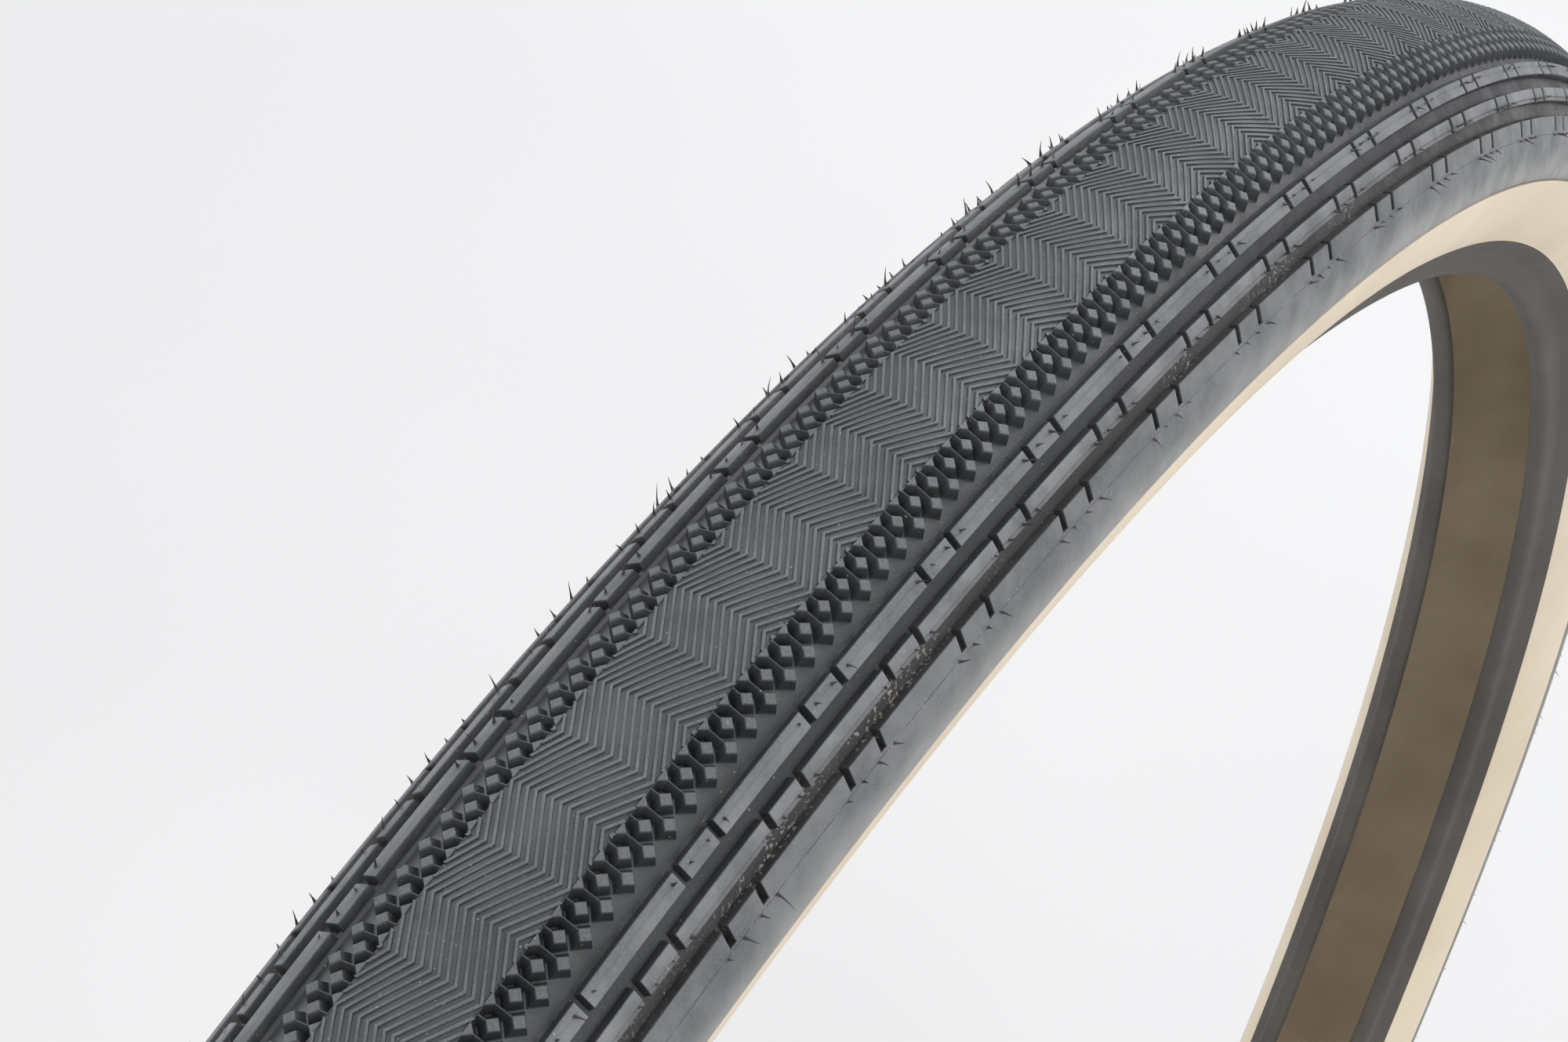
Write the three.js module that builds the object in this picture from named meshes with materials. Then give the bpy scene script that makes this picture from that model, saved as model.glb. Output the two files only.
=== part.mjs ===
import * as THREE from "three";

// A 700 x 38C bicycle tire in millimetres, in the shape it holds on its rim.
// The wheel axis is Y, the origin is the wheel centre and +Z is up.

// Driving sizes
const OUTER_RADIUS = 349; // wheel centre to the crown of the tread
const SECTION_RADIUS = 19.8; // round outer contour of the tread
const CROWN_CENTRE = OUTER_RADIUS - SECTION_RADIUS;
const CASING_DROP = 2.4; // the casing circle sits this much nearer the hub
const CASING_CENTRE = CROWN_CENTRE - CASING_DROP;
const CASING_RADIUS = 18.85; // the surface between the two casing layers
const SEGMENTS = 40;

// Layers, as distances from the surface between the two casing layers
const BOND = 0.06; // clearance between bonded layers
const PLY = 0.45;
const BELT = 0.5;
const SKIN = 0.35;
const CHAFER = 0.41;
const PLY_FACE = BOND / 2;
const CASING_FACE = PLY_FACE + PLY;
const COVER_FACE = CASING_FACE + BOND;
const BELT_FACE = COVER_FACE + BELT;

// Places across the tread, as angles from the crown
const BELT_EDGE = 0.6;
const TURNUP_EDGE = 0.3;
const CASING_ANGLES = [0, TURNUP_EDGE, BELT_EDGE, 1.0, 1.4];
const SKIN_EDGE = 1.42;
const CENTRE_BAND_EDGE = 0.298;
const DIAMOND_EDGE = 0.545;
const RIB_EDGES = [0.6264, 0.727, 0.8336, 0.9328, 1.0467];
const SHOULDER_END = 1.3;
const TREAD_EDGE = 1.51;
const GROOVE_DEPTH = 1.2;

// Bead: its steel core and where it sits on a 622 mm bead seat
const CORE_AT = [10.15, 313];
const CORE_RADIUS = 0.95;
const CORE_SIDES = 8;

// Sidewall from the widest point down to the rim flange, as [axial, radial]
const LOWER_WALL = [[17.2, 324], [15, 319.6]];
const RIM_ZONE = [[12.9, 317.3], [11.6, 316.0]];
const CHAFER_TOP = [14.06, 318.57];
const SKIN_FOOT = [14.22, 318.75];
const OUTSIDE_CORE = [[11.15, 314.6], [11.15, 312.45], [10.7, 312]];
const INSIDE_CORE = [[10.9, 315], [9.6, 314.1], [9.15, 313.2], [9.15, 311.55]];
const TURNUP_FOOT = [9.2, 312];
const TOE_WRAP = [[9.15, 312], [9.15, 313.2]];

const COLOURS = {
  tread: 0x45494a,
  skin: 0xdfcda9,
  ply: 0xb9ab8a,
  belt: 0x7d5a33,
  core: 0x9b9c9c,
  chafer: 0x4d4740,
};

/** A point on the casing circle, as [axial, radial]. */
function casingPoint(angle) {
  return [
    CASING_RADIUS * Math.sin(angle),
    CASING_CENTRE + CASING_RADIUS * Math.cos(angle),
  ];
}

/** A point on the tread's outer contour, lowered by a depth. */
function treadPoint(angle, depth = 0) {
  const radius = SECTION_RADIUS - depth;
  return [radius * Math.sin(angle), CROWN_CENTRE + radius * Math.cos(angle)];
}

/** Unit normal of the step from one point to the next, pointing off the casing. */
function outward(from, to) {
  const along = new THREE.Vector2(to[0] - from[0], to[1] - from[1]).normalize();
  return new THREE.Vector2(-along.y, along.x);
}

/** The path moved sideways, so that each of its sides keeps the same distance. */
function offsetPath(path, distance) {
  return path.map((point, i) => {
    const before = outward(path[Math.max(i - 1, 0)], path[Math.max(i, 1)]);
    const last = path.length - 1;
    const after = outward(path[Math.min(i, last - 1)], path[Math.min(i + 1, last)]);
    const mitre = before.clone().add(after).normalize();
    const reach = distance / mitre.dot(after);
    return [point[0] + mitre.x * reach, point[1] + mitre.y * reach];
  });
}

/** The outline of a layer that follows a path between two distances from it. */
function layer(path, near, far) {
  return [...offsetPath(path, far), ...offsetPath(path, near).reverse()];
}

/** The same points on the other side of the wheel. */
function mirrored(points) {
  return points.map(([axial, radial]) => [-axial, radial]);
}

/** A half path carried over to the other side, in one run from left to right. */
function bothSides(half) {
  return [...mirrored(half.slice(1)).reverse(), ...half];
}

/** A closed ring, turned from its outline about the wheel axis. */
function ring(name, outline, colour, roughness, metalness = 0) {
  const points = outline.map(([axial, radial]) => new THREE.Vector2(radial, axial));
  if (THREE.ShapeUtils.area(points) < 0) points.reverse();
  points.push(points[0].clone());
  const geometry = new THREE.LatheGeometry(points, SEGMENTS);
  const material = new THREE.MeshStandardMaterial({ color: colour, roughness, metalness });
  const mesh = new THREE.Mesh(geometry, material);
  mesh.name = name;
  return mesh;
}

/** The two rings of a part that sits on each side of the tire. */
function pair(name, outline, colour, roughness, metalness) {
  return [
    ring(`${name}_right`, outline, colour, roughness, metalness),
    ring(`${name}_left`, mirrored(outline), colour, roughness, metalness),
  ];
}

/** Black tread rubber, with its centre band, shoulder ribs and grooves. */
function tread() {
  const half = [treadPoint(0), treadPoint(CENTRE_BAND_EDGE / 2), treadPoint(CENTRE_BAND_EDGE)];
  half.push(treadPoint(DIAMOND_EDGE), treadPoint(DIAMOND_EDGE, GROOVE_DEPTH));
  RIB_EDGES.forEach((edge, i) => {
    const low = treadPoint(edge, GROOVE_DEPTH);
    const high = treadPoint(edge);
    half.push(...(i % 2 === 0 ? [low, high] : [high, low]));
  });
  half.push(treadPoint(SHOULDER_END));
  half.push(treadPoint(TREAD_EDGE, GROOVE_DEPTH / 8));
  const casing = offsetPath(CASING_ANGLES.map(casingPoint), COVER_FACE);
  const overBelt = offsetPath(CASING_ANGLES.map(casingPoint), BELT_FACE + BOND);
  const pastBelt = casing.slice(3);
  const under = [...overBelt.slice(0, 3), casingStep(), ...pastBelt];
  return ring("tread", [...bothSides(half), ...bothSides(under).reverse()], COLOURS.tread, 0.8);
}

/** The step under the tread where the belt ends, just clear of its edge. */
function casingStep() {
  const [axial, radial] = casingPoint(BELT_EDGE + BOND / CASING_RADIUS);
  const scale = 1 + COVER_FACE / CASING_RADIUS;
  return [axial * scale, CASING_CENTRE + (radial - CASING_CENTRE) * scale];
}

/** Puncture belt under the crown of the tread. */
function punctureBelt() {
  const half = CASING_ANGLES.slice(0, 3).map(casingPoint);
  return ring("puncture_belt", layer(bothSides(half), COVER_FACE, BELT_FACE), COLOURS.belt, 0.9);
}

/** The casing layer that runs from bead to bead on the air side. */
function casingPly() {
  const half = [...CASING_ANGLES.map(casingPoint), ...LOWER_WALL, ...RIM_ZONE, ...INSIDE_CORE];
  const outline = layer(bothSides(half), -CASING_FACE, -PLY_FACE);
  return ring("casing_ply", outline, COLOURS.ply, 0.9);
}

/** The part of the casing that wraps each bead core and turns up to the crown. */
function casingTurnups() {
  const crown = CASING_ANGLES.slice(1).map(casingPoint);
  const path = [...crown, ...LOWER_WALL, ...RIM_ZONE, ...OUTSIDE_CORE, TURNUP_FOOT];
  return pair("casing_turnup", layer(path, PLY_FACE, CASING_FACE), COLOURS.ply, 0.9);
}

/** Thin tan rubber that covers each sidewall. */
function sidewalls() {
  const path = [casingPoint(SKIN_EDGE), ...LOWER_WALL, SKIN_FOOT];
  return pair("sidewall", layer(path, COVER_FACE, COVER_FACE + SKIN), COLOURS.skin, 0.7);
}

/** Woven strip that wraps each bead where it rubs on the rim. */
function chafers() {
  const path = [CHAFER_TOP, ...RIM_ZONE, ...OUTSIDE_CORE, ...TOE_WRAP];
  return pair("bead_chafer", layer(path, COVER_FACE, COVER_FACE + CHAFER), COLOURS.chafer, 0.85);
}

/** Steel core of each bead. */
function beadCores() {
  const outline = Array.from({ length: CORE_SIDES }, (_, i) => {
    const turn = ((i + 0.5) / CORE_SIDES) * 2 * Math.PI;
    return [
      CORE_AT[0] + CORE_RADIUS * Math.sin(turn),
      CORE_AT[1] + CORE_RADIUS * Math.cos(turn),
    ];
  });
  return pair("bead_core", outline, COLOURS.core, 0.4, 1);
}

const tire = new THREE.Group();
tire.add(tread(), punctureBelt(), casingPly());
tire.add(...casingTurnups(), ...sidewalls(), ...chafers(), ...beadCores());

export default tire;
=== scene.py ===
"""Looks for a 700 x 38C bicycle tire: black patterned tread, tan sidewalls, casing and beads."""
import math

import bpy
import numpy as np
from mathutils import Matrix, Vector


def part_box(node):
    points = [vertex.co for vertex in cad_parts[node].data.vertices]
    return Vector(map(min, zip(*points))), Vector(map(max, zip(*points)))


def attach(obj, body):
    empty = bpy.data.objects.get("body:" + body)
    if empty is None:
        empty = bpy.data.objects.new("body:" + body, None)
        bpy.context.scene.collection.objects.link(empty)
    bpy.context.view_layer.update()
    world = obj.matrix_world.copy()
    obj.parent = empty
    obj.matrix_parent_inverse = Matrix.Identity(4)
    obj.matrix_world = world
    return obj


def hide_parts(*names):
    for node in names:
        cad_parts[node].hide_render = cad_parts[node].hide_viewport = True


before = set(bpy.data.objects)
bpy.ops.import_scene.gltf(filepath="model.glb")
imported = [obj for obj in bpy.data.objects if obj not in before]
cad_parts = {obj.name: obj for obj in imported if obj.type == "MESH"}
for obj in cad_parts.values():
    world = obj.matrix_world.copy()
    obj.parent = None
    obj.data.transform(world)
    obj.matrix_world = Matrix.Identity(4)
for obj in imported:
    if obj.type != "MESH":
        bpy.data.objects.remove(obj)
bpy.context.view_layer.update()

# ---- Sizes, in metres and radians. Angles across the tread start at the crown. ----
MM = 0.001
RING_STEPS = 360
OUTER_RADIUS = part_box("tread")[1][2]
SECTION_RADIUS = 19.8 * MM
CROWN_CENTRE = OUTER_RADIUS - SECTION_RADIUS
CASING_CENTRE = CROWN_CENTRE - 2.4 * MM
CASING_RADIUS = 18.85 * MM
TURN = 2 * math.pi

PLY_FACE = 0.03 * MM
CASING_FACE = 0.48 * MM
COVER_FACE = 0.54 * MM
BELT_FACE = 1.04 * MM
OVER_BELT = 1.10 * MM
SKIN_FACE = 0.89 * MM
CHAFER_FACE = 0.95 * MM
BELT_EDGE = 0.6
TURNUP_EDGE = 0.3
CASING_EDGE = 1.4
SKIN_EDGE = 1.41
ROOT = 0.1 * MM  # how far ridges and diamonds reach into the rubber they stand on

# Herringbone band
ZIGZAGS = 157
RIDGE_STEP = 0.0482
RIDGE_RISE = 4 * RIDGE_STEP
RIDGE_HEIGHT = 0.26 * MM
RIDGE_SOFT = 0.04 * MM
RIDGE_LINES = 8  # on each side of the middle one
RIDGE_FOOT = 0.0125  # half widths, across the tread
RIDGE_TOP = 0.0090
RIDGE_CREST = RIDGE_TOP * 0.6
SHORTEST_RIDGE = 0.02  # share of a half zigzag
BAND_EDGE = 0.2985
RAIL = 0.004
RAIL_DROP = 0.24 * MM
ZIGZAG_AT = 0.0375  # where a zigzag reaches furthest to the right, round from the top

# Diamond rows
DIAMONDS = 620
DIAMOND_AT = 0.00545
PITCH = TURN / DIAMONDS * OUTER_RADIUS
DIAMOND_HALF = 0.235 * PITCH
DIAMOND_FLANK = 0.88 * MM
DIAMOND_SOFT = 0.06 * MM
DIAMOND_BEVEL = 0.05 * MM
PIT_DEPTH = 1.45 * MM
INNER_WALL = 0.56 * DIAMOND_FLANK  # width of the pit's wall beside the herringbone
PIT_WALL = [(0.611, 1.27 * MM), (0.619, 1.1 * MM), (0.628, 0.85 * MM)]  # (across, depth)
WEB_HALF = 0.05 * MM
WEB_TOP = 0.12 * MM
WEB_SHOULDER = 0.16 * MM
WEB_SOFT = 0.02 * MM
OVERLAP = 0.05  # how far webs and half diamonds reach past their ends, in millimetres
ROW_STEP = 0.5 * PITCH / SECTION_RADIUS

# Shoulder ribs
RIB_PERIODS = 98
SHORT_BLOCK_AT = 0.0309
SHORT_BLOCK_SHARE = 0.267
NOTCH = 1.05 * MM
GROOVE_DEPTH = 1.2 * MM
RIB_ROOT = 0.15 * MM
RIB_DRAFT = 0.20 * MM
RIB_SOFT = 0.12 * MM
RIB_CORNER = 0.3 * RIB_SOFT  # where the softened edge bends
SHELF_DROP = 0.1 * MM  # outer strip of the middle rib
RIBS = [(0.6264, 0.7270), (0.8336, 0.9328), (1.0467, 1.1535)]
SKIRT_OVERLAP = 0.004  # how far the outer rib runs into the skirt
SKIRT_SINK = 0.004 * MM  # how far that rib lies below the skirt
MOULD_LINES = [0.6646, 0.9034, 1.1750]
MOULD_LINE_SECTION = [(-0.0045, -0.03), (-0.0015, 0.045), (0.0015, 0.045), (0.0045, -0.03)]
MOULD_LINE_END = 0.0006
SKIRT_LINE = 0.003, 0.05 * MM  # half width and height of the mould line on the skirt
TREAD_EDGE = 1.51
TREAD_TIP = [(1.44, 0.06 * MM), (1.48, 0.14 * MM), (TREAD_EDGE, 0.3 * MM)]  # (across, depth)

# Vent hairs, in millimetres; the sections are (share of the length, half width)
HAIR_LENGTHS = {"right": [0.5, 0.9, 1.4], "left": [0.5, 1.1, 1.6]}
HAIR_ODDS = [0.35, 0.4, 0.25]
HAIR_SECTIONS = [(-0.08, 0.30), (0.12, 0.20), (0.40, 0.11), (0.75, 0.06), (1.0, 0.02)]
HAIR_SIDES = 6
NOTCH_TO_HAIR = 0.0043

# Sidewall and bead paths, as (axial, radial) in millimetres from the casing's widest part
LOWER_WALL = [(17.2, 324.0), (15.0, 319.6)]
RIM_ZONE = [(12.9, 317.3), (11.6, 316.0)]
CHAFER_TOP = [(14.06, 318.57)]
SKIN_FOOT = [(14.22, 318.75)]
OUTSIDE_CORE = [(11.15, 314.6), (11.15, 312.45), (10.7, 312.0)]
INSIDE_CORE = [(10.9, 315.0), (9.6, 314.1), (9.15, 313.2), (9.15, 311.55)]
TURNUP_FOOT = [(9.2, 312.0)]
TOE_WRAP = [(9.15, 312.0), (9.15, 313.2)]
CORE_AT = (10.15, 313.0)
CORE_RADIUS = 0.95
CORE_POINTS = 16
INNER_STEPS = 240  # round the casing, belt and bead cores

# Colours of the tread rubber
# painted shade: the black of groove and pit floors, darker than the tops
SHADED_GROOVE_BLACKS = (0.019, 0.021, 0.023), (0.029, 0.031, 0.034)
# painted shade in the shallow herringbone grooves, lighter than in the deep ones
BAND_SHADE = (0.044, 0.048, 0.051)
# dust with painted light on the floor beside the diamonds; lighter on the left, where light falls on it
LEFT_DUST_AND_LIGHT = (0.150, 0.157, 0.160)
RIGHT_DUST_AND_LIGHT = (0.088, 0.094, 0.097)
TOP_BLACKS = (0.064, 0.070, 0.075), (0.082, 0.089, 0.095)
# scuffs and painted sheen on the tops of the shoulder ribs
SCUFF_AND_SHEEN = (0.180, 0.184, 0.190)
# painted sheen on the skirt toward the tread's edge
SKIRT_EDGE_SHEEN = (0.26, 0.26, 0.25)
SOIL = (0.27, 0.24, 0.20)
SOIL_FILM = (0.13, 0.10, 0.08)
SOIL_CRUST = (0.36, 0.35, 0.32)
SPECK = (0.45, 0.45, 0.43)
GRAIN = (0.20, 0.205, 0.21)
SEAM_BLACK = (0.03, 0.03, 0.03)
HAIR_BLACK = (0.022, 0.022, 0.024)

# Camera, from the wheel centre
CAMERA_AT = (0.1321, 0.1122, 0.6317)
CAMERA_FORWARD = (-0.5027, -0.3186, -0.8036)
CAMERA_RIGHT = (-0.5354, 0.8446, 0.0)
CAMERA_LENS = 81.9


# ---- Mesh tools ----
class Surface:
    """Collects quads for one piece. Its points are (turn, across, height) on the tread."""

    def __init__(self):
        self.points, self.quads, self.count = [], [], 0

    def add(self, points, quads, turns=(0.0,), mirror=False):
        """Adds a patch once for each turn, and with mirror also on the left side."""
        points = np.asarray(points, float)
        quads = np.asarray(quads, int)
        turns = np.asarray(turns, float)
        for side in (1, -1) if mirror else (1,):
            patch = points * (1, side, 1)
            faces = quads if side > 0 else quads[:, ::-1]
            shifted = patch[None] + turns[:, None, None] * np.array([1.0, 0.0, 0.0])
            starts = self.count + np.arange(len(turns)) * len(patch)
            self.points.append(shifted.reshape(-1, 3))
            self.quads.append((faces[None] + starts[:, None, None]).reshape(-1, 4))
            self.count += len(patch) * len(turns)

    def build(self, name, place):
        """The mesh object, with its points placed by a function."""
        points = place(np.concatenate(self.points))
        return mesh_object(name, points, np.concatenate(self.quads)[:, ::-1])


def mesh_object(name, points, quads, sharp=35):
    """A mesh from arrays of points and quads, smooth up to a sharp angle in degrees."""
    mesh = bpy.data.meshes.new(name)
    mesh.vertices.add(len(points))
    mesh.vertices.foreach_set("co", np.asarray(points, np.float32).ravel())
    mesh.loops.add(quads.size)
    mesh.loops.foreach_set("vertex_index", quads.astype(np.int32).ravel())
    mesh.polygons.add(len(quads))
    mesh.polygons.foreach_set("loop_start", np.arange(0, quads.size, 4, dtype=np.int32))
    mesh.update(calc_edges=True)
    mesh.validate()
    mesh.polygons.foreach_set("use_smooth", np.ones(len(mesh.polygons), bool))
    mesh.set_sharp_from_angle(angle=math.radians(sharp))
    piece = bpy.data.objects.new(name, mesh)
    bpy.context.scene.collection.objects.link(piece)
    return piece


def on_tread(points):
    """Tread points (turn, across, height) in the frame; height 0 is the round contour."""
    turn, across, height = points.T
    reach = SECTION_RADIUS + height
    radial = CROWN_CENTRE + reach * np.cos(across)
    return np.stack([-radial * np.sin(turn), reach * np.sin(across), radial * np.cos(turn)], 1)


def loft(loops, cap_quads):
    """Quads between successive loops of equal length, and a cap on the last one."""
    count = len(loops[0])
    side = np.arange(count)
    after = (side + 1) % count
    quads = [
        np.stack([side + low, after + low, after + low + count, side + low + count], 1)
        for low in range(0, count * (len(loops) - 1), count)
    ]
    quads.append(np.asarray(cap_quads) + count * (len(loops) - 1))
    return np.concatenate(loops), np.concatenate(quads)


def turned(name, outline, steps=RING_STEPS):
    """A closed ring, turned from its (axial, radial) outline in metres about the wheel axis."""
    outline = np.asarray(outline, float)
    following = np.roll(outline, -1, axis=0)
    area = (outline[:, 1] * following[:, 0] - following[:, 1] * outline[:, 0]).sum()
    if area < 0:
        outline = outline[::-1]
    angle = np.arange(steps) * TURN / steps
    axial, radial = outline.T
    points = np.stack(
        [
            -radial[None] * np.sin(angle)[:, None],
            np.broadcast_to(axial, (steps, len(axial))),
            radial[None] * np.cos(angle)[:, None],
        ],
        2,
    ).reshape(-1, 3)
    row = np.arange(len(axial))
    after = (row + 1) % len(axial)
    low = (np.arange(steps) * len(axial))[:, None]
    high = (((np.arange(steps) + 1) % steps) * len(axial))[:, None]
    quads = np.stack([low + row, low + after, high + after, high + row], 2).reshape(-1, 4)
    return mesh_object(name, points, quads)


# ---- Layer paths ----
def casing_arc(start, end, steps):
    """Points on the casing circle between two angles from the crown, in metres."""
    angle = np.linspace(start, end, steps)
    radial = CASING_CENTRE + CASING_RADIUS * np.cos(angle)
    return np.stack([CASING_RADIUS * np.sin(angle), radial], 1)


def rounded(points, cuts=2):
    """A path with its corners cut round."""
    path = np.asarray(points, float)
    for _ in range(cuts):
        near = path[:-1] * 0.75 + path[1:] * 0.25
        far = path[:-1] * 0.25 + path[1:] * 0.75
        inner = np.stack([near, far], 1).reshape(-1, 2)
        path = np.concatenate([path[:1], inner, path[-1:]])
    return path


def offset(path, distance):
    """The path moved sideways by a distance, off the casing."""
    along = np.gradient(path, axis=0)
    along /= np.linalg.norm(along, axis=1, keepdims=True)
    return path + distance * np.stack([-along[:, 1], along[:, 0]], 1)


def layer(path, near, far):
    """The outline of a layer between two distances from a path."""
    return np.concatenate([offset(path, far), offset(path, near)[::-1]])


def mirrored(outline):
    """The outline on the other side of the wheel."""
    return outline * (-1, 1)


def both_sides(half):
    """A path from the crown to the right, with its mirror image put before it."""
    return np.concatenate([mirrored(half[1:])[::-1], half])


def wall_path(start, bead):
    """The casing from an angle near the crown, round the sidewall and along the bead."""
    lower = np.array(LOWER_WALL + RIM_ZONE + bead) * MM
    return rounded(np.concatenate([casing_arc(start, CASING_EDGE, 14), lower]))


def stretch(path, start, end):
    """The part of a path between the points nearest to two places, in metres."""
    first, last = (int(np.argmin(np.linalg.norm(path - place, axis=1))) for place in (start, end))
    return path[first : last + 1]


# ---- Tread ----
def tread_base():
    """The rubber that everything else on the tread stands on, from edge to edge."""
    rail_in, rail_out = BAND_EDGE - RAIL, BAND_EDGE + RAIL
    floor_start = rail_out + INNER_WALL / SECTION_RADIUS
    skirt = RIBS[2][1]
    seam = MOULD_LINES[2]
    line_half, line_height = SKIRT_LINE
    stations = [(across, -RIDGE_HEIGHT) for across in np.linspace(0, rail_in - 0.005, 10)]
    stations += [(rail_in, -RAIL_DROP), (rail_out, -RAIL_DROP)]
    stations += [(floor_start, -PIT_DEPTH)]
    stations += [(across, -PIT_DEPTH) for across in np.linspace(0.36, 0.60, 8)]
    stations += [(across, -depth) for across, depth in PIT_WALL]
    stations += [(across, -GROOVE_DEPTH) for across in np.linspace(RIBS[0][0] + 0.01, skirt, 14)]
    stations += [(skirt + 0.002, 0)]
    stations += [(seam - line_half, 0), (seam, line_height), (seam + line_half, 0)]
    stations += [(across, 0) for across in np.linspace(1.2, 1.38, 8)]
    stations += [(across, -depth) for across, depth in TREAD_TIP]
    across, height = np.array(stations).T
    reach = SECTION_RADIUS + height
    outer = np.stack([reach * np.sin(across), CROWN_CENTRE + reach * np.cos(across)], 1)
    belt_end = BELT_EDGE + 0.004
    over_belt = offset(casing_arc(0, belt_end, 10), OVER_BELT)
    past_belt = offset(casing_arc(belt_end, SKIN_EDGE - 0.005, 12), COVER_FACE)
    under = np.concatenate([over_belt, past_belt])
    outline = np.concatenate([both_sides(outer), both_sides(under)[::-1]])
    return turned("tread_base", outline, steps=DIAMONDS)


def herringbone():
    """Fine zigzag ridges between the two rows of diamonds."""
    surface = Surface()
    half_period = TURN / ZIGZAGS / 2
    inner_edge = BAND_EDGE - RAIL / 2
    for line in range(-RIDGE_LINES, RIDGE_LINES + 1):
        middle = line * RIDGE_STEP
        across = np.array([middle + RIDGE_RISE / 2, middle - RIDGE_RISE / 2])
        held = np.clip(across, -inner_edge, inner_edge)
        share = (held - across[0]) / (across[1] - across[0])
        if share[1] - share[0] < SHORTEST_RIDGE:
            continue
        for side in (-1, 1):
            points, quads = ridge(share * side * half_period, held, ended=held != across)
            surface.add(points, quads if side > 0 else quads[:, ::-1], zigzag_turns())
    return surface.build("tread_herringbone", on_tread)


def zigzag_turns():
    """Where each zigzag starts, round from the top."""
    return ZIGZAG_AT + np.arange(ZIGZAGS) * TURN / ZIGZAGS


def ridge(turns, across, ended):
    """One straight ridge with a flat top, narrower than its foot, closed where it ends."""
    section = [
        (-RIDGE_FOOT, -RIDGE_HEIGHT - ROOT),
        (-RIDGE_TOP, -RIDGE_SOFT),
        (-RIDGE_CREST, 0),
        (RIDGE_CREST, 0),
        (RIDGE_TOP, -RIDGE_SOFT),
        (RIDGE_FOOT, -RIDGE_HEIGHT - ROOT),
    ]
    ends = zip(turns, across)
    points = [(turn, middle + aside, height) for turn, middle in ends for aside, height in section]
    quads = [(i, i + 6, i + 7, i + 1) for i in range(5)]
    if ended[0]:
        quads += [(0, 1, 4, 5), (1, 2, 3, 4)]
    if ended[1]:
        quads += [(6, 11, 10, 7), (7, 10, 9, 8)]
    return np.array(points), np.array(quads)


def lozenge(turn, across, outline, levels):
    """A block whose outline, in millimetres round and across, shrinks from level to level.

    levels holds (height, how far the outline moves in), in metres.
    """
    outline = np.asarray(outline, float)
    before = outline - np.roll(outline, 1, axis=0)
    after = np.roll(outline, -1, axis=0) - outline
    normals = [
        np.stack([-way[:, 1], way[:, 0]], 1) / np.linalg.norm(way, axis=1)[:, None]
        for way in (before, after)
    ]
    mitre = normals[0] + normals[1]
    mitre /= (mitre * normals[0]).sum(1, keepdims=True)
    loops = []
    for height, inset in levels:
        flat = outline + mitre * inset / MM
        loops.append(
            np.stack(
                [
                    turn + flat[:, 0] * MM / OUTER_RADIUS,
                    across + flat[:, 1] * MM / SECTION_RADIUS,
                    np.full(len(flat), height),
                ],
                1,
            )
        )
    return loft(loops, [(0, 1, 2, 3)])


def diamond_rows():
    """Rows of flat-topped diamonds beside the herringbone, joined by thin webs."""
    surface = Surface()
    turns = DIAMOND_AT + np.arange(DIAMONDS) * TURN / DIAMONDS
    half_step = 0.5 * TURN / DIAMONDS
    half = DIAMOND_HALF / MM
    row = 0.5 * PITCH / MM
    web = WEB_HALF / MM
    foot = (-PIT_DEPTH - ROOT, -DIAMOND_FLANK / math.sqrt(2))
    block = [foot, (-DIAMOND_SOFT, 0), (0, DIAMOND_BEVEL)]
    web_levels = [foot, (-WEB_SHOULDER, -WEB_SOFT), (-WEB_TOP, WEB_SOFT)]

    def place(turn, across, outline, levels):
        points, quads = lozenge(turn, across, outline, levels)
        surface.add(points, quads, turns, mirror=True)

    diamond = [(-half, 0), (0, -half), (half, 0), (0, half)]
    place(0, BAND_EDGE + ROW_STEP, diamond, block)
    place(half_step, BAND_EDGE + 2 * ROW_STEP, diamond, block)
    top = half - web
    half_diamond = [(-half, -OVERLAP), (half, -OVERLAP), (web, top), (-web, top)]
    place(half_step, BAND_EDGE, half_diamond, block)
    for turn, start, end in ((0, 0, row - half), (half_step, half, 2 * row - half)):
        low, high = start - OVERLAP, end + OVERLAP
        line = [(-web, low), (web, low), (web, high), (-web, high)]
        place(turn, BAND_EDGE, line, web_levels)
    return surface.build("tread_diamonds", on_tread)


def rib_block(start, end, low, high, steps, keep_outer, drop=0.0):
    """One block of a shoulder rib, with drafted sides and a softened upper edge.

    drop is how far its top lies below the round contour. With keep_outer, its outer side runs
    straight down into the skirt.
    """
    crown = -SKIRT_SINK if keep_outer else 0
    high = high + SKIRT_OVERLAP if keep_outer else high
    levels = [
        (-GROOVE_DEPTH - RIB_ROOT, -RIB_DRAFT),
        (-RIB_SOFT, 0),
        (-RIB_CORNER, RIB_CORNER),
        (crown, RIB_SOFT),
    ]
    loops = []
    for height, inset in levels:
        round_inset = inset / OUTER_RADIUS
        turns = np.linspace(start + round_inset, end - round_inset, steps + 1)
        inner = low + inset / SECTION_RADIUS
        outer = high if keep_outer else high - inset / SECTION_RADIUS
        level = np.full(steps + 1, height - drop)
        near = np.stack([turns, np.full(steps + 1, inner), level], 1)
        far = np.stack([turns, np.full(steps + 1, outer), level], 1)
        loops.append(np.concatenate([near, far[::-1]]))
    last = 2 * steps + 1
    cap = [(i, i + 1, last - i - 1, last - i) for i in range(steps)]
    return loft(loops, cap)


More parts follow.
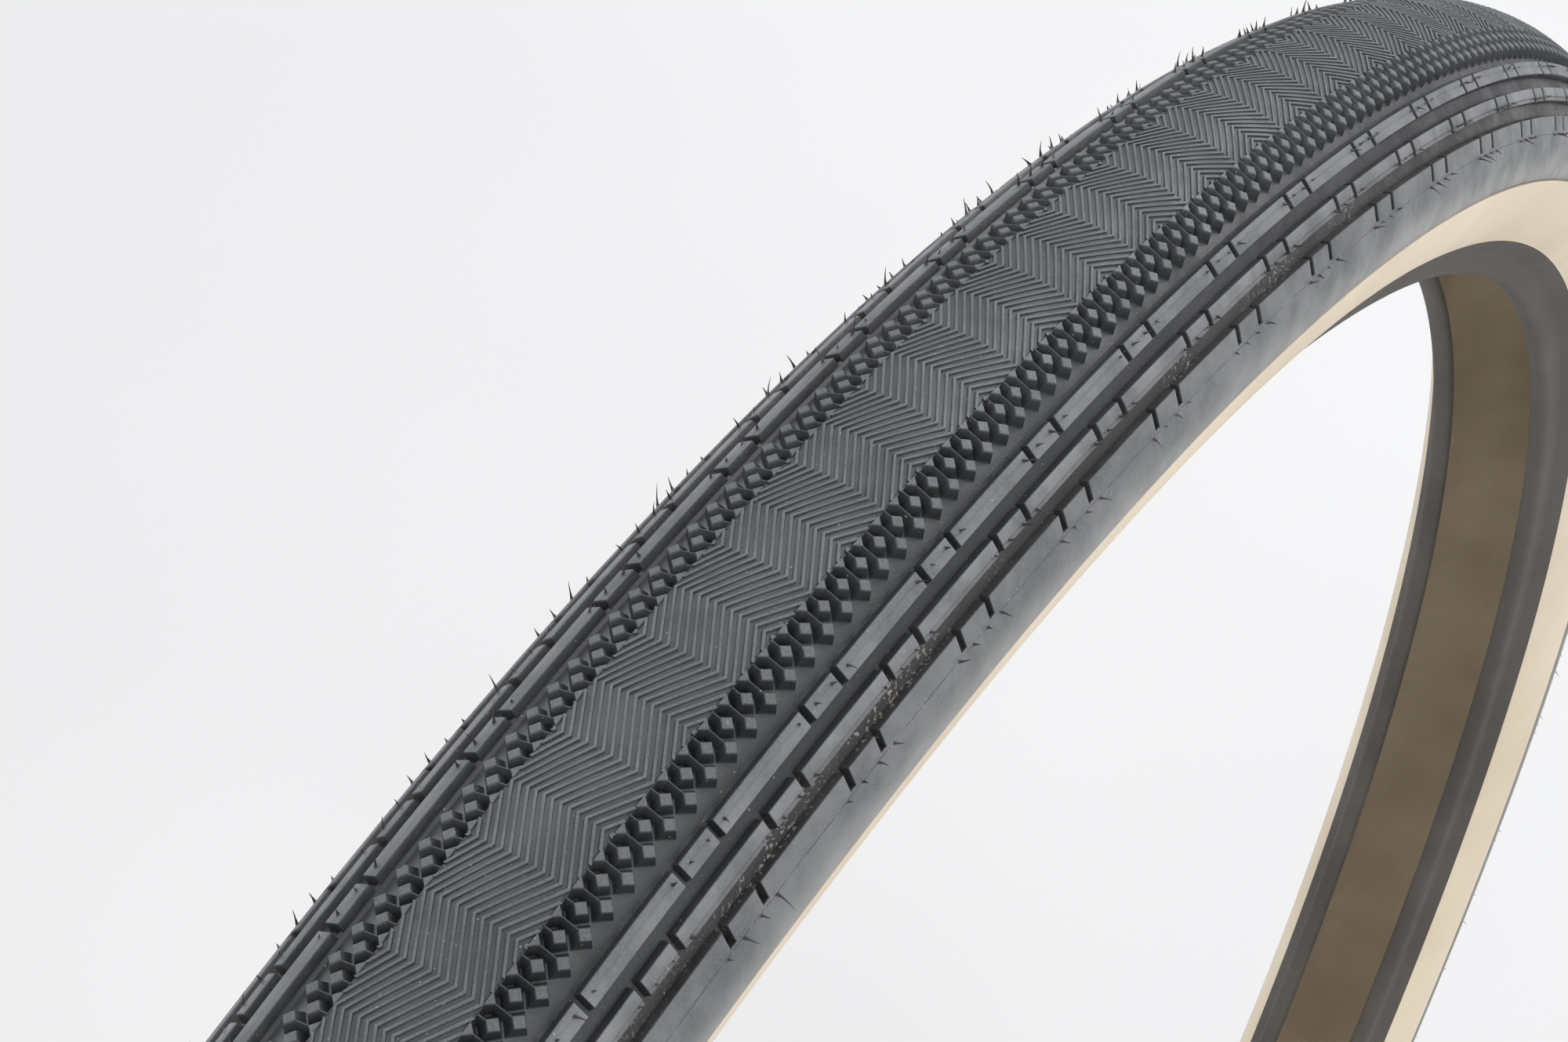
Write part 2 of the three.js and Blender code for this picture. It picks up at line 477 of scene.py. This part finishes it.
def shoulder_ribs():
    """Three ribs on each shoulder, cut by notches into long and short blocks."""
    surface = Surface()
    period = TURN / RIB_PERIODS
    notch = NOTCH / OUTER_RADIUS
    short = SHORT_BLOCK_SHARE * period - notch
    blocks = [(-short / 2, short / 2, 2), (short / 2 + notch, period - short / 2 - notch, 5)]
    first, second, _ = MOULD_LINES
    for number, (low, high) in enumerate(RIBS):
        middle = SHORT_BLOCK_AT + (0.5 * period if number == 1 else 0)
        turns = middle + np.arange(RIB_PERIODS) * period
        for start, end, steps in blocks:
            if number == 0:
                patches = [
                    rib_block(start, end, low, high, steps, keep_outer=False),
                    mould_line(start, end, first, steps),
                ]
            elif number == 1:
                patches = [
                    rib_block(start, end, low, second, steps, keep_outer=False),
                    rib_block(start, end, second, high, steps, keep_outer=False, drop=SHELF_DROP),
                ]
            else:
                patches = [rib_block(start, end, low, high, steps, keep_outer=True)]
            for points, quads in patches:
                surface.add(points, quads, turns, mirror=True)
    return surface.build("tread_ribs", on_tread)


def mould_line(start, end, across, steps):
    """The thin line that the joint of the mould leaves along a block."""
    count = steps + 1
    turns = np.linspace(start + MOULD_LINE_END, end - MOULD_LINE_END, count)
    rows = [
        np.stack([turns, np.full(count, across + aside), np.full(count, height * MM)], 1)
        for aside, height in MOULD_LINE_SECTION
    ]
    quads = [
        (row * count + i, row * count + i + 1, (row + 1) * count + i + 1, (row + 1) * count + i)
        for row in range(3)
        for i in range(steps)
    ]
    return np.concatenate(rows), np.array(quads)


def vent_hairs(seed=7):
    """Short tapered hairs that the vents of the mould leave beside the notches."""
    rng = np.random.default_rng(seed)
    surface = Surface()
    period = TURN / RIB_PERIODS
    for side in (1, -1):
        for number, across in enumerate(MOULD_LINES):
            for k in range(RIB_PERIODS):
                middle = SHORT_BLOCK_AT + (k + (0.5 if number == 1 else 0)) * period
                for notch in (-0.5, 0.5):
                    for beside in (-NOTCH_TO_HAIR, NOTCH_TO_HAIR):
                        turn = middle + notch * SHORT_BLOCK_SHARE * period + beside
                        surface.add(*hair(rng, turn, side * across))
    return surface.build("tread_vent_hairs", on_tread)


def hair(rng, turn, across):
    """One hair: a round foot, then a thin stem that leans and bends as it narrows."""
    lengths = HAIR_LENGTHS["right" if across > 0 else "left"]
    length = rng.choice(lengths, p=HAIR_ODDS) * rng.uniform(0.8, 1.2) * MM
    lean_round = rng.normal(0.3, 0.25)
    lean_across = rng.normal(0.3, 0.2)
    bend_round, bend_across = rng.normal(0, 0.25, 2)
    corners = np.arange(HAIR_SIDES) * TURN / HAIR_SIDES
    loops = []
    for share, width in HAIR_SECTIONS:
        round_shift = (lean_round * share + bend_round * share**2) * length
        across_shift = (lean_across * share + bend_across * share**2) * length
        loops.append(
            np.stack(
                [
                    turn + (round_shift + width * MM * np.cos(corners)) / OUTER_RADIUS,
                    across + (across_shift + width * MM * np.sin(corners)) / SECTION_RADIUS,
                    np.full(HAIR_SIDES, share * length),
                ],
                1,
            )
        )
    return loft(loops, [(0, 1, 2, 3), (0, 3, 4, 5)])


# ---- Casing, sidewalls and beads ----
def on_each_side(name, node, outline, steps=RING_STEPS):
    """The right and left copies of a ring, each standing for its CAD node."""
    made = []
    for side, shape in (("right", outline), ("left", mirrored(outline))):
        piece = turned(f"{name}_{side}", shape, steps)
        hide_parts(f"{node}_{side}")
        made.append(piece)
    return made


def casing_pieces():
    """Every layer under the tread and down to the beads, by CAD node."""
    outside = wall_path(TURNUP_EDGE, OUTSIDE_CORE + TOE_WRAP)
    inside = both_sides(wall_path(0, INSIDE_CORE))
    widest = casing_arc(SKIN_EDGE, SKIN_EDGE, 1)[0]
    end = np.array(TOE_WRAP[-1]) * MM
    turnup = stretch(outside, outside[0], np.array(TURNUP_FOOT[0]) * MM)
    skin = stretch(outside, widest, np.array(SKIN_FOOT[0]) * MM)
    chafer = stretch(outside, np.array(CHAFER_TOP[0]) * MM, end)
    turnup = layer(turnup, PLY_FACE, CASING_FACE)
    ply = turned("casing_cloth", layer(inside, -CASING_FACE, -PLY_FACE), INNER_STEPS)
    belt_path = both_sides(casing_arc(0, BELT_EDGE, 10))
    belt = turned("belt_cloth", layer(belt_path, COVER_FACE, BELT_FACE), INNER_STEPS)
    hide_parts("casing_ply")
    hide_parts("puncture_belt")
    return {
        "casing": [ply, *on_each_side("turnup", "casing_turnup", turnup, INNER_STEPS)],
        "belt": [belt],
        "sidewall": on_each_side("skinwall", "sidewall", layer(skin, COVER_FACE, SKIN_FACE)),
        "chafer": on_each_side("chafer", "bead_chafer", layer(chafer, COVER_FACE, CHAFER_FACE)),
        "bead": on_each_side("bead", "bead_core", core_outline(), INNER_STEPS),
    }


def core_outline():
    """The round bead core's section."""
    angle = np.arange(CORE_POINTS) * TURN / CORE_POINTS
    ring = np.stack([np.sin(angle), np.cos(angle)], 1)
    return (np.array(CORE_AT) + CORE_RADIUS * ring) * MM


# ---- Materials ----
class Material:
    """A node material under construction. Its nodes read the piece's own coordinates."""

    def __init__(self, name, roughness, metallic=0.0, specular=0.5):
        self.data = bpy.data.materials.new(name)
        self.data.use_nodes = True
        self.tree = self.data.node_tree
        self.shader = self.tree.nodes["Principled BSDF"]
        self.shader.inputs["Roughness"].default_value = roughness
        self.shader.inputs["Metallic"].default_value = metallic
        self.shader.inputs["Specular IOR Level"].default_value = specular
        self.place = self.tree.nodes.new("ShaderNodeTexCoord").outputs["Object"]

    def link(self, value, socket):
        """Sets a socket from a number, a colour or another socket."""
        if isinstance(value, bpy.types.NodeSocket):
            self.tree.links.new(value, socket)
        else:
            socket.default_value = value

    def math(self, operation, *values):
        node = self.tree.nodes.new("ShaderNodeMath")
        node.operation = operation
        for value, socket in zip(values, node.inputs):
            self.link(value, socket)
        return node.outputs[0]

    def product(self, *values):
        """The values multiplied together."""
        result = values[0]
        for value in values[1:]:
            result = self.math("MULTIPLY", result, value)
        return result

    def noise(self, scale, detail=3.0, roughness=0.55, place=None):
        node = self.tree.nodes.new("ShaderNodeTexNoise")
        self.link(self.place if place is None else place, node.inputs["Vector"])
        self.link(scale, node.inputs["Scale"])
        self.link(detail, node.inputs["Detail"])
        self.link(roughness, node.inputs["Roughness"])
        return node.outputs["Fac"]

    def ramp(self, value, low, high, start=0.0, end=1.0):
        """The value taken smoothly from low..high to start..end."""
        node = self.tree.nodes.new("ShaderNodeMapRange")
        node.interpolation_type = "SMOOTHSTEP"
        for number, socket in zip((value, low, high, start, end), node.inputs):
            self.link(number, socket)
        return node.outputs["Result"]

    def mix(self, share, first, second):
        node = self.tree.nodes.new("ShaderNodeMix")
        node.data_type = "RGBA"
        self.link(share, node.inputs["Factor"])
        for value, number in ((first, 6), (second, 7)):
            if isinstance(value, tuple):
                value = (*value, 1.0)
            self.link(value, node.inputs[number])
        return node.outputs[2]

    def colour(self, value):
        self.link(value, self.shader.inputs["Base Color"])

    def rough(self, value):
        self.link(value, self.shader.inputs["Roughness"])

    def bump(self, height, distance, strength=1.0):
        node = self.tree.nodes.new("ShaderNodeBump")
        node.inputs["Distance"].default_value = distance
        node.inputs["Strength"].default_value = strength
        self.link(height, node.inputs["Height"])
        self.tree.links.new(node.outputs["Normal"], self.shader.inputs["Normal"])

    def polar(self):
        """(turn, angle across, height off the round contour) of each point, as sockets."""
        split = self.tree.nodes.new("ShaderNodeSeparateXYZ")
        self.tree.links.new(self.place, split.inputs[0])
        x, y, z = split.outputs
        above = self.math("SUBTRACT", self.length(x, z), CROWN_CENTRE)
        height = self.math("SUBTRACT", self.length(above, y), SECTION_RADIUS)
        return self.math("ARCTAN2", x, z), self.math("ARCTAN2", y, above), height

    def length(self, first, second):
        """The length of the hypotenuse over two sides."""
        squares = [self.math("MULTIPLY", value, value) for value in (first, second)]
        return self.math("SQRT", self.math("ADD", *squares))

    def combine(self, x, y):
        node = self.tree.nodes.new("ShaderNodeCombineXYZ")
        for value, socket in zip((x, y), node.inputs):
            self.link(value, socket)
        return node.outputs[0]


def tread_rubber():
    """Black rubber: painted shade darkens the grooves, which are dusty; the tops are lighter, with
    scuffs and painted sheen on the shoulders and painted sheen toward the skirt's edge.
    """
    rubber = Material("tread_rubber", roughness=0.55)
    _, across, height = rubber.polar()
    side = rubber.math("ABSOLUTE", across)
    # painted shade: below the tops the colour turns to the darker floor tone, for the shade in grooves
    # and pits
    raised = rubber.ramp(height, -0.25 * MM, -0.02 * MM)
    cloud = rubber.ramp(rubber.noise(45.0, 4.0), 0.35, 0.65)
    shaded_floor = groove_shade_tone(rubber, across, side, height, cloud)
    colour = rubber.mix(raised, shaded_floor, top_tone(rubber, side, cloud))
    # painted sheen: the skirt grows lighter toward the tread's edge
    uneven_side = rubber.math("ADD", side, rubber.product(cloud, 0.05))
    edge_sheen = rubber.ramp(uneven_side, 1.27, 1.52)
    colour = rubber.mix(rubber.product(edge_sheen, 0.8), colour, SKIRT_EDGE_SHEEN)
    colour = soiled(rubber, colour, side, height)
    colour = fine_marks(rubber, colour, side, height, raised)
    rubber.colour(colour)
    rubber.rough(rubber.ramp(rubber.noise(160.0, 5.0, 0.65), 0.35, 0.65, 0.36, 0.58))
    rubber.bump(rubber.noise(2200.0, 4.0, 0.6), 0.07 * MM, 0.8)
    return rubber.data


def groove_shade_tone(rubber, across, side, height, cloud):
    """Painted shade: black on the floors of grooves and pits, with dust and painted light on the floor
    beside the diamonds.
    """
    right = rubber.ramp(across, -0.2, 0.2)
    # dust and painted light on the pit and band floor; on the left it stops short of rib 1, leaving
    # painted shade there
    dust_and_light = rubber.product(
        rubber.ramp(side, 0.36, 0.42),
        rubber.ramp(side, 0.62, 0.44),
        rubber.ramp(height, -1.2 * MM, -1.4 * MM),
        rubber.math("MAXIMUM", right, rubber.ramp(side, 0.58, 0.535)),
        rubber.ramp(rubber.noise(210.0, 4.0, 0.6), 0.35, 0.65, 0.6, 1.0),
    )
    # painted shade on the floors of the grooves and pits
    shaded_floor = rubber.mix(cloud, *SHADED_GROOVE_BLACKS)
    shaded_floor = rubber.mix(dust_and_light, shaded_floor, rubber.mix(right, LEFT_DUST_AND_LIGHT, RIGHT_DUST_AND_LIGHT))
    # the herringbone's shallow grooves get a lighter painted shade
    band = rubber.ramp(side, BAND_EDGE - 0.008, BAND_EDGE - 0.012)
    return rubber.mix(rubber.product(band, 0.7), shaded_floor, BAND_SHADE)


def top_tone(rubber, side, cloud):
    """Lighter black on top of the blocks, with scuffs and painted sheen on the shoulders."""
    # scuffs and painted sheen: lighter tops on the inner shoulder ribs, less on the outer one
    scuffs_and_sheen = rubber.product(
        rubber.ramp(side, 0.55, 0.75),
        rubber.ramp(side, 1.0, 1.06, 1.0, 0.72),
        rubber.ramp(rubber.noise(140.0, 4.0, 0.6), 0.35, 0.65, 0.25, 0.95),
    )
    return rubber.mix(scuffs_and_sheen, rubber.mix(cloud, *TOP_BLACKS), SCUFF_AND_SHEEN)


def soiled(rubber, colour, side, height):
    """Adds crumbs and a brown film in the outer grooves, and a crust on the skirt's mould line."""
    groove = rubber.ramp(side, 0.80, 0.99)
    low = rubber.ramp(height, -0.4 * MM, -1.0 * MM)
    patches = rubber.ramp(rubber.noise(38.0, 2.0), 0.46, 0.62)
    crumbs = rubber.ramp(rubber.noise(1900.0, 2.0, 0.6), 0.57, 0.64)
    colour = rubber.mix(rubber.product(groove, patches, crumbs, low), colour, SOIL)
    colour = rubber.mix(rubber.product(groove, low, 0.08), colour, SOIL_FILM)
    seam = rubber.product(rubber.ramp(side, 1.160, 1.172), rubber.ramp(side, 1.192, 1.178))
    return rubber.mix(rubber.product(seam, patches, crumbs), colour, SOIL_CRUST)


def fine_marks(rubber, colour, side, height, raised):
    """Adds specks, grain, a dark line where the mould met on the skirt, and black vent hairs."""
    specks = rubber.ramp(rubber.noise(2600.0, 1.0), 0.77, 0.80)
    colour = rubber.mix(rubber.product(specks, 0.7), colour, SPECK)
    grain = rubber.ramp(rubber.noise(3200.0, 2.0, 0.7), 0.35, 0.65)
    colour = rubber.mix(rubber.product(grain, raised, 0.22), colour, GRAIN)
    line = rubber.product(
        rubber.ramp(side, 1.1710, 1.1740),
        rubber.ramp(side, 1.1800, 1.1765),
        rubber.ramp(rubber.noise(420.0, 3.0), 0.35, 0.55, 0.3, 1.0),
    )
    colour = rubber.mix(line, colour, SEAM_BLACK)
    standing = rubber.ramp(height, 0.06 * MM, 0.12 * MM)
    return rubber.mix(standing, colour, HAIR_BLACK)


def woven_rubber(name, dark, light, pitch, roughness, depth):
    """Rubbered cord cloth: two crossed sets of fine threads under a smooth skin."""
    cloth = Material(name, roughness=roughness)
    turn, across, _ = cloth.polar()
    round_way = cloth.math("MULTIPLY", turn, OUTER_RADIUS / pitch)
    cross_way = cloth.math("MULTIPLY", across, SECTION_RADIUS / pitch)
    threads = []
    for operation in ("ADD", "SUBTRACT"):
        phase = cloth.math("MULTIPLY", cloth.math(operation, round_way, cross_way), TURN / math.sqrt(2))
        threads.append(cloth.math("SINE", phase))
    weave = cloth.ramp(cloth.math("MAXIMUM", *threads), -0.2, 1.0)
    stain = cloth.ramp(cloth.noise(28.0, 4.0), 0.3, 0.7)
    share = cloth.math("ADD", cloth.math("MULTIPLY", weave, 0.18), cloth.math("MULTIPLY", stain, 0.6))
    cloth.colour(cloth.mix(share, dark, light))
    cloth.bump(cloth.math("ADD", weave, cloth.math("MULTIPLY", cloth.noise(900.0, 3.0), 0.5)), depth)
    return cloth.data


def drawn_wire():
    """Steel wire with fine lengthwise scratches."""
    wire = Material("bead_wire", roughness=0.35, metallic=1.0)
    turn, across, _ = wire.polar()
    along = wire.combine(wire.math("MULTIPLY", turn, 4.0), wire.math("MULTIPLY", across, 900.0))
    streak = wire.noise(1.0, 3.0, place=along)
    wire.colour(wire.mix(streak, (0.30, 0.29, 0.28), (0.62, 0.61, 0.60)))
    wire.rough(wire.ramp(streak, 0.3, 0.7, 0.28, 0.45))
    return wire.data


MATERIALS = {
    "tread": tread_rubber(),
    "sidewall": woven_rubber(
        "tan_skin",
        dark=(0.65, 0.54, 0.39),
        light=(0.78, 0.68, 0.52),
        pitch=0.6 * MM,
        roughness=0.5,
        depth=0.02 * MM,
    ),
    "casing": woven_rubber(
        "casing_cord",
        dark=(0.46, 0.38, 0.27),
        light=(0.72, 0.62, 0.46),
        pitch=0.6 * MM,
        roughness=0.7,
        depth=0.06 * MM,
    ),
    "belt": woven_rubber(
        "belt_cloth",
        dark=(0.14, 0.07, 0.03),
        light=(0.27, 0.15, 0.07),
        pitch=1.2 * MM,
        roughness=0.8,
        depth=0.08 * MM,
    ),
    "chafer": woven_rubber(
        "chafer_cloth",
        dark=(0.050, 0.044, 0.038),
        light=(0.10, 0.09, 0.075),
        pitch=0.7 * MM,
        roughness=0.7,
        depth=0.06 * MM,
    ),
    "bead": drawn_wire(),
}


def finish_piece(piece, slot):
    """The piece rides on the tire's body and takes its slot's material."""
    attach(piece, "root")
    piece.data.materials.append(MATERIALS[slot])


# ---- Stage, light and camera ----
def floor():
    """A plain pale floor under the tire."""
    size = 30.0
    corners = [(-size, -size), (size, -size), (size, size), (-size, size)]
    points = np.array([(x, y, -OUTER_RADIUS) for x, y in corners])
    plane = mesh_object("floor", points, np.array([(0, 1, 2, 3)]))
    paint = Material("floor_paint", roughness=0.8, specular=0.2)
    tone = paint.ramp(paint.noise(3.0, 2.0), 0.2, 0.8)
    paint.colour(paint.mix(tone, (0.67, 0.67, 0.67), (0.70, 0.70, 0.70)))
    plane.data.materials.append(paint.data)


def lamp(name, at, aim, size, power):
    """A square soft light at a place, pointed at another."""
    light = bpy.data.lights.new(name, "AREA")
    light.size = size
    light.energy = power
    holder = bpy.data.objects.new(name, light)
    bpy.context.scene.collection.objects.link(holder)
    direction = Vector(aim) - Vector(at)
    holder.location = at
    holder.rotation_euler = direction.to_track_quat("-Z", "Y").to_euler()


def studio():
    """Soft pale surroundings and large lights."""
    world = bpy.data.worlds.new("studio")
    world.use_nodes = True
    background = world.node_tree.nodes["Background"]
    background.inputs["Color"].default_value = (0.97, 0.98, 1.0, 1.0)
    background.inputs["Strength"].default_value = 0.88
    bpy.context.scene.world = world
    bpy.context.scene.view_settings.view_transform = "Standard"
    top = (0.0, 0.0, OUTER_RADIUS)
    lamp("key", (-0.5, -0.7, 1.5), top, 1.4, 8.0)
    lamp("right", (0.1, 1.3, 1.1), top, 1.0, 8.5)
    lamp("back", (-1.5, 0.2, 0.9), top, 1.2, 9.0)


def camera():
    """A close view along the top of the tread."""
    data = bpy.data.cameras.new("camera")
    data.lens = CAMERA_LENS
    data.sensor_width = 36.0
    data.sensor_fit = "HORIZONTAL"
    data.clip_start = 0.01
    holder = bpy.data.objects.new("camera", data)
    forward = Vector(CAMERA_FORWARD).normalized()
    right = Vector(CAMERA_RIGHT).normalized()
    up = right.cross(forward)
    turn = Matrix((right, up, -forward)).transposed().to_4x4()
    holder.matrix_world = Matrix.Translation(CAMERA_AT) @ turn
    bpy.context.scene.collection.objects.link(holder)
    bpy.context.scene.camera = holder


# ---- The tire ----
camera()
studio()
floor()
tread = tread_base()
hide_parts("tread")
for piece in (tread, herringbone(), diamond_rows(), shoulder_ribs(), vent_hairs()):
    finish_piece(piece, "tread")
for slot_name, pieces in casing_pieces().items():
    for piece in pieces:
        finish_piece(piece, slot_name)
